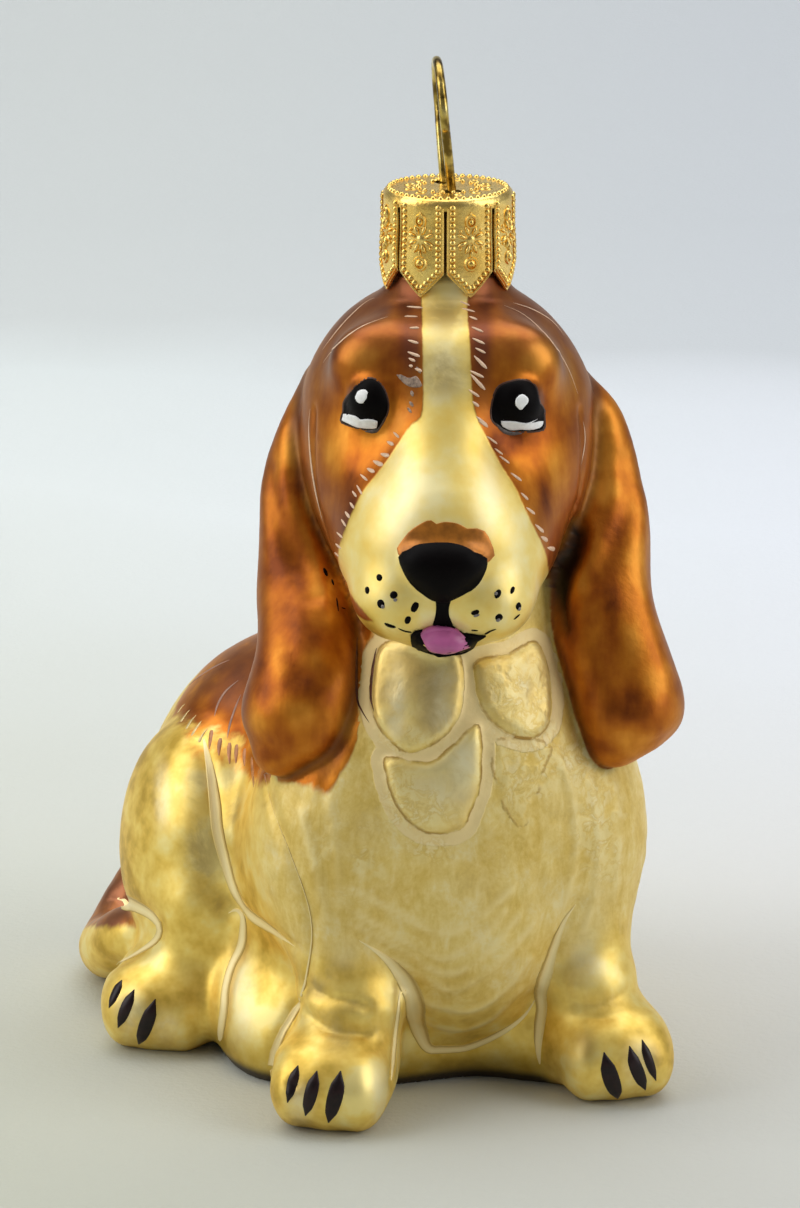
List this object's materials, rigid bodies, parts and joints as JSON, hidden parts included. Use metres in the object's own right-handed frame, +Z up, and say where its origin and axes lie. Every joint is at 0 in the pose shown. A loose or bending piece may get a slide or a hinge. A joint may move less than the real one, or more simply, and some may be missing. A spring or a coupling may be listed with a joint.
{
  "type": "blown-glass basset hound ornament",
  "caption": "Hanging ornament: a sitting basset hound in silvered, hand-painted blown glass, with long hanging ears, a stamped crown cap and a wire loop that it hangs by.",
  "frame": {"origin": "on the surface that it stands on, under the middle of the bounding box", "axes": "+Z up along the cap; the face looks along -Y; +X is the side of the dog's left ear"},
  "size_m": [0.0606, 0.0592, 0.1011],
  "materials": {
    "amber_lacquer": "translucent amber-brown lacquer over silvered glass, glossy, mauve at grazing angles",
    "pearl_gold": "satin pale gold lacquer over silvered glass, with cream outlines",
    "gloss_black": "gloss black paint over glass",
    "rose": "satin mauve-pink paint over glass",
    "neck_glass": "silvered glass, under the cap",
    "stamped_gold": "stamped thin sheet, satin gold",
    "brass_wire": "polished wire"
  },
  "bodies": {
    "root": {"head": "amber_lacquer", "ear_right": "amber_lacquer", "ear_left": "amber_lacquer", "tail": "amber_lacquer", "torso": "pearl_gold", "foreleg_right": "pearl_gold", "foreleg_left": "pearl_gold", "forepaw_right": "pearl_gold", "forepaw_left": "pearl_gold", "thigh_right": "pearl_gold", "thigh_left": "pearl_gold", "hind_foot_right": "pearl_gold", "hind_foot_left": "pearl_gold", "eye_right": "gloss_black", "eye_left": "gloss_black", "nose": "gloss_black", "mouth": "gloss_black", "tongue": "rose", "neck": "neck_glass", "cap": "stamped_gold", "hanging_loop": "brass_wire"}
  },
  "joints": []
}
